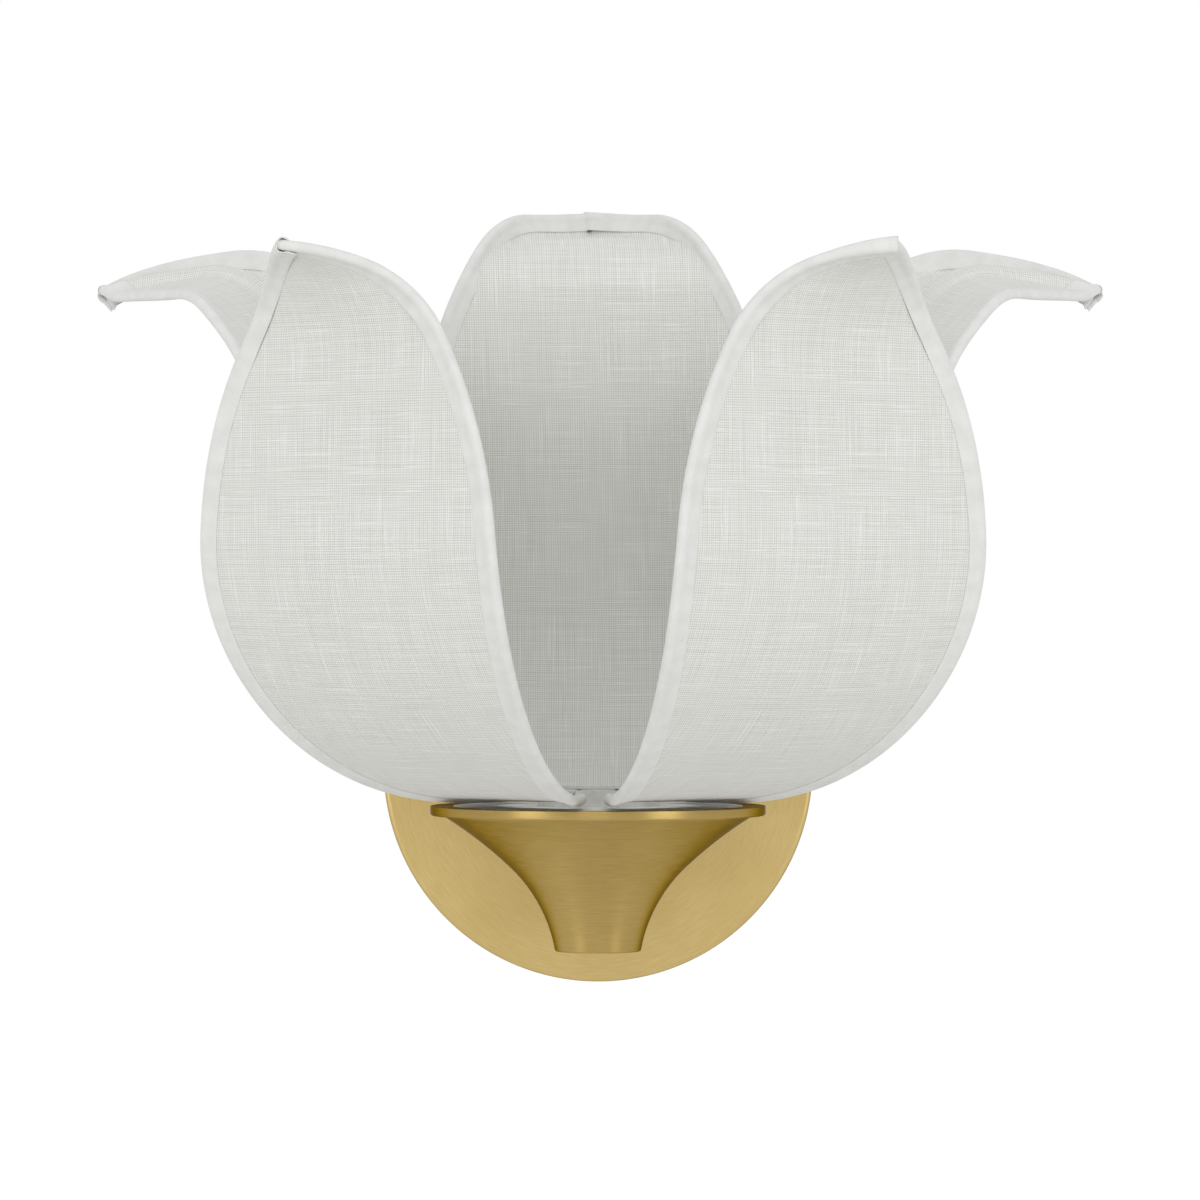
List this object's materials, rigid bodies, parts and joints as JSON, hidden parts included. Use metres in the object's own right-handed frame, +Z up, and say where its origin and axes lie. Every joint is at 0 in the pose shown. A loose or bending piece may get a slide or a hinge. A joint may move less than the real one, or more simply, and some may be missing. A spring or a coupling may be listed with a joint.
{
  "type": "wall light",
  "caption": "Wall light with a flower of pointed linen petals over a brushed brass trumpet cup, on a straight arm from a round backplate.",
  "frame": {"origin": "centre of the round backplate on the wall plane", "axes": "+Z up, -Y out from the wall into the room, +X to the right as seen from the room"},
  "size_m": [0.2978, 0.2493, 0.2389],
  "materials": {
    "brushed_brass": "satin brushed brass, lacquered",
    "zinc_steel": "zinc plated steel",
    "green_screw": "green plated ground screw",
    "white_paint": "matte white powder coat",
    "white_phenolic": "moulded white phenolic",
    "contact_brass": "plain stamped brass",
    "frame_wire": "white coated steel wire",
    "linen": "off-white slubby plain-weave linen on a thin stiff backing",
    "binding_tape": "folded white cotton binding tape"
  },
  "bodies": {
    "root": {"backplate": "brushed_brass", "arm_tube": "brushed_brass", "arm_collar": "brushed_brass", "trumpet_cup": "brushed_brass", "cup_rim_ring": "brushed_brass", "backplate_side_screws": "brushed_brass", "mounting_crossbar": "zinc_steel", "arm_lock_washer": "zinc_steel", "arm_nut": "zinc_steel", "stem_body": "zinc_steel", "threaded_nipple": "zinc_steel", "nipple_jam_nut": "zinc_steel", "cup_base_screw": "zinc_steel", "ground_screw": "green_screw", "petal_ring_screws": "zinc_steel", "cup_top_plate": "white_paint", "petal_ring": "white_paint", "lampholder_body": "white_phenolic", "lampholder_screw_shell": "contact_brass", "front_left_petal_frame": "frame_wire", "front_left_petal_linen": "linen", "front_left_petal_binding": "binding_tape", "front_right_petal_frame": "frame_wire", "front_right_petal_linen": "linen", "front_right_petal_binding": "binding_tape", "side_left_petal_frame": "frame_wire", "side_left_petal_linen": "linen", "side_left_petal_binding": "binding_tape", "side_right_petal_frame": "frame_wire", "side_right_petal_linen": "linen", "side_right_petal_binding": "binding_tape", "back_petal_frame": "frame_wire", "back_petal_linen": "linen", "back_petal_binding": "binding_tape"},
    "centre_contact": {"lampholder_centre_contact": "contact_brass"}
  },
  "joints": [
    {"name": "lamp_contact_press", "type": "slide", "parent": "root", "child": "centre_contact", "axis": [0, 0, 1], "range_m": [-0.0015, 0], "stiffness_N_per_m": 800}
  ]
}
